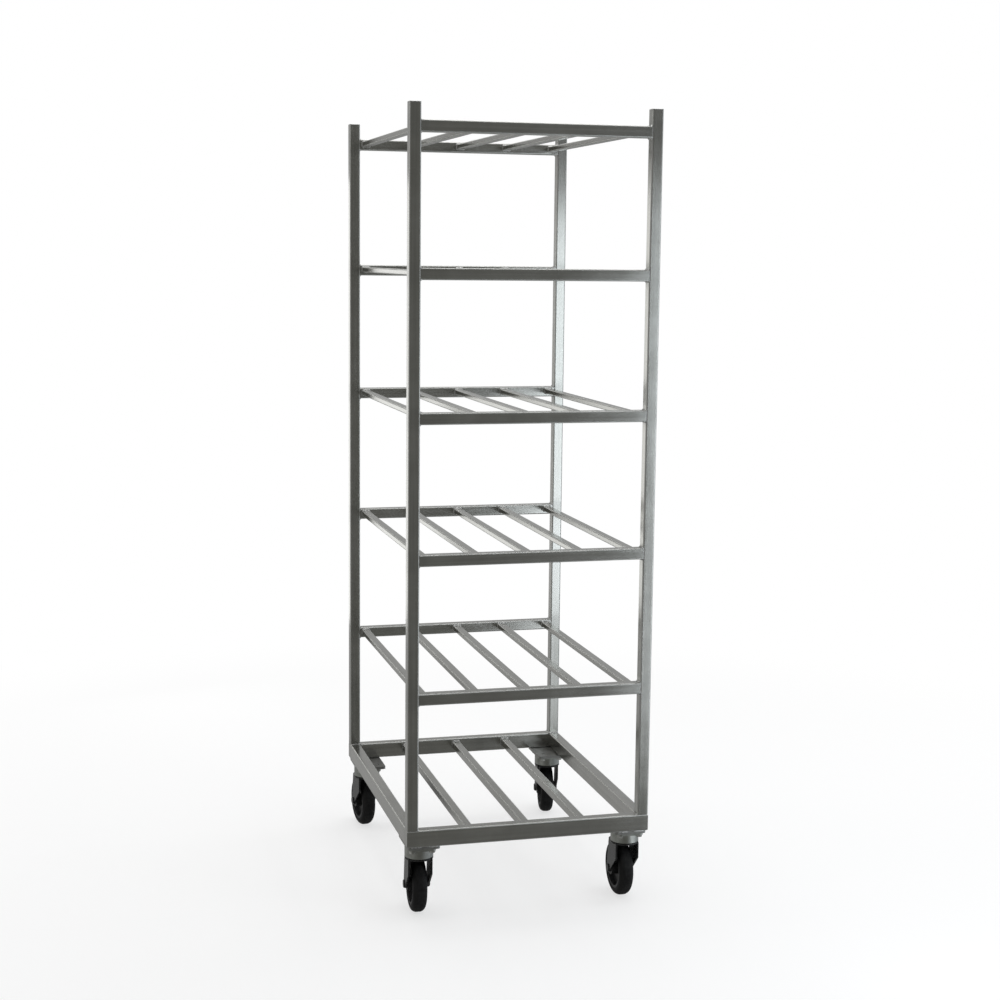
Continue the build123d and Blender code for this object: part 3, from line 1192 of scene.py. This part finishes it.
@dataclass(frozen=True)
class Room:
    """Soft light from the room's six sides, dim on the camera's side and white where the camera looks.

    Attributes:
        sides: Colours of the left and right, the front and rear, and the lower and upper sides.
        backdrop: Levels of a mirror ray's heading to the rear between which the white backdrop fades in.
        backdrop_tilt: Fall of the backdrop's lower edge from left to right.
        backdrop_foot: Levels between which its lower edge fades in.
        backdrop_share: Share of its white that mirror rays see.
    """

    sides: tuple[tuple[Colour, Colour], ...] = (
        ((0.42, 0.42, 0.41), (0.6, 0.63, 0.68)),
        ((0.155, 0.153, 0.14), (0.3, 0.3, 0.295)),
        ((0.22, 0.22, 0.213), (0.42, 0.42, 0.42)),
    )
    backdrop: Span = (0.25, 0.9)
    backdrop_tilt: float = 0.8
    backdrop_foot: Span = (-0.3, -0.1)
    backdrop_share: float = 0.2

    def _walls(self, graph: NodeGraph, way: Sequence[Wire]) -> Wire:
        """Blend the six sides by the direction of a ray.

        Args:
            graph: The room's graph.
            way: The three parts of the direction.

        Returns:
            The room's colour that way.
        """
        lit = []
        for part, (low, high) in zip(way, self.sides):
            side = graph.mix(part > 0.0, low, high)
            lit.append(graph.vector_math("SCALE", {0: side, "Scale": part * part}))
        level = graph.vector_math("ADD", {0: lit[0], 1: lit[1]})
        return graph.vector_math("ADD", {0: level, 1: lit[2]})

    def build(self) -> None:
        """Make the room the scene's world."""
        world = bpy.data.worlds.new("studio_room")
        world.use_nodes = True
        bpy.context.scene.world = world
        graph = NodeGraph(world.node_tree)
        way = graph.split(graph.node("ShaderNodeTexCoord", output="Generated"))
        lower_edge = way[2] - self.backdrop_tilt * way[0]
        backdrop = way[1].step(*self.backdrop) * lower_edge.step(*self.backdrop_foot)
        mirrored = graph.ray("Is Glossy Ray") * backdrop
        seen = graph.ray("Is Camera Ray") + graph.ray("Is Transmission Ray")
        shown = (seen + self.backdrop_share * mirrored).at_most(1.0)
        colour = graph.mix(shown, self._walls(graph, way), WHITE)
        light = graph.node("ShaderNodeBackground", sockets={"Color": colour})
        graph.node("ShaderNodeOutputWorld", sockets={"Surface": light})


@dataclass(frozen=True)
class Lamp:
    """A soft rectangular lamp that the camera doesn't see.

    Attributes:
        name: The lamp's name.
        place: Its middle.
        target: Point that it faces.
        size: Width and height.
        watts: Power.
        colour: Colour of its light.
    """

    name: str
    place: Point
    target: Point
    size: Span
    watts: float
    colour: Colour = WHITE

    def build(self) -> None:
        """Hang the lamp."""
        light = bpy.data.lights.new(self.name, "AREA")
        light.shape = "RECTANGLE"
        light.size, light.size_y = self.size
        light.energy = self.watts
        light.color = self.colour
        lamp = add_object(self.name, light)
        lamp.location = self.place
        lamp.visible_camera = False
        facing = Vector(self.target) - Vector(self.place)
        lamp.rotation_euler = facing.to_track_quat("-Z", "Y").to_euler()


@dataclass(frozen=True)
class View:
    """The camera, where the photograph was taken.

    Attributes:
        lens_pixels: Focal length, in pixels of the square picture.
        picture: Side of the square picture, in pixels.
        sensor: Width of the camera's sensor, in millimetres.
        yaw: Turn of the view to the right of +Y, in degrees.
        pitch: Rise of the view, in degrees.
        roll: Turn of the picture about the view, in degrees.
        stand: Place of the camera.
    """

    lens_pixels: float = 1770.5
    picture: float = 1000.0
    sensor: float = 36.0
    yaw: float = 14.822
    pitch: float = -7.874
    roll: float = 0.616
    stand: Point = (-1.0416, -4.0160, 1.4588)

    def _axes(self) -> Matrix:
        """Work out how the camera is turned.

        Returns:
            The camera's axes, as the columns of a matrix.
        """
        yaw, pitch, roll = (math.radians(angle) for angle in (self.yaw, self.pitch, self.roll))
        ahead = Vector((math.sin(yaw) * math.cos(pitch), math.cos(yaw) * math.cos(pitch), math.sin(pitch)))
        right = Vector((math.cos(yaw), -math.sin(yaw), 0))
        up = right.cross(ahead)
        turned_right = math.cos(roll) * right + math.sin(roll) * up
        turned_up = math.cos(roll) * up - math.sin(roll) * right
        return Matrix((turned_right, turned_up, -ahead)).transposed()

    def build(self) -> None:
        """Stand the camera and make it the scene's own."""
        camera = bpy.data.cameras.new("camera")
        camera.sensor_width = self.sensor
        camera.lens = self.sensor * self.lens_pixels / self.picture
        holder = add_object("camera", camera)
        holder.matrix_world = Matrix.Translation(self.stand) @ self._axes().to_4x4()
        bpy.context.scene.camera = holder


@dataclass(frozen=True)
class Studio:
    """Plain studio round the cart.

    Attributes:
        floor: The floor.
        room: The room's own light.
        lamps: Soft lamps at the sides and above, and strips that the posts' flat faces mirror.
        view: The camera.
    """

    floor: Floor = Floor()
    room: Room = Room()
    lamps: tuple[Lamp, ...] = (
        Lamp(
            name="lamp_right", place=(2.6, 0.4, 1.7), target=(0.0, 0.0, 0.9),
            size=(1.4, 2.6), watts=16.0, colour=(0.93, 0.97, 1.0),
        ),
        Lamp(
            name="lamp_left", place=(-3.0, 0.9, 1.9), target=(0.0, 0.0, 0.9),
            size=(1.6, 2.2), watts=12.0, colour=(1.0, 1.0, 0.98),
        ),
        Lamp(
            name="lamp_top", place=(0.2, 0.5, 4.2), target=(0.0, 0.0, 0.6),
            size=(3.0, 3.0), watts=100.0,
        ),
        Lamp(
            name="strip_high", place=(0.92, -1.4, 1.24), target=(0.265, 0.34, 1.24),
            size=(0.44, 0.8), watts=3.0, colour=(0.87, 0.94, 1.0),
        ),
        Lamp(
            name="strip_middle", place=(0.945, -1.4, 0.48), target=(0.265, 0.34, 0.48),
            size=(0.46, 0.72), watts=3.0, colour=(0.88, 0.94, 1.0),
        ),
        Lamp(
            name="card_low", place=(0.65, -0.94, 0.065), target=(0.6213, -0.8442, 1.065),
            size=(0.24, 1.15), watts=0.95, colour=(0.9, 0.95, 1.0),
        ),
        Lamp(
            name="strip_back", place=(-0.64, 1.9, 0.95), target=(-0.1, 0.0, 0.95),
            size=(0.5, 1.5), watts=2.5, colour=(1.0, 1.0, 0.99),
        ),
    )
    view: View = View()

    def build(self) -> None:
        """Add the floor, the room, the lamps and the camera."""
        bpy.context.scene.view_settings.view_transform = "Standard"
        self.floor.build()
        self.room.build()
        for lamp in self.lamps:
            lamp.build()
        self.view.build()


def main() -> None:
    """Dress the cart from the posts down, then set up the studio."""
    logging.basicConfig(level=logging.INFO, format="%(name)s: %(message)s")
    bead = WeldBead()
    weld = WeldMetal(name="weld_bead").build()
    first = middle_and_half("shelf_1_front_rail")[0].z
    second = middle_and_half("shelf_2_front_rail")[0].z
    Posts(first, second - first).build()
    for number in SHELF_NUMBERS:
        UpperShelf(number, bead).build(weld)
    BaseFrame(bead).build(weld)
    Casters().build()
    Studio().build()


if __name__ == "__main__":
    main()
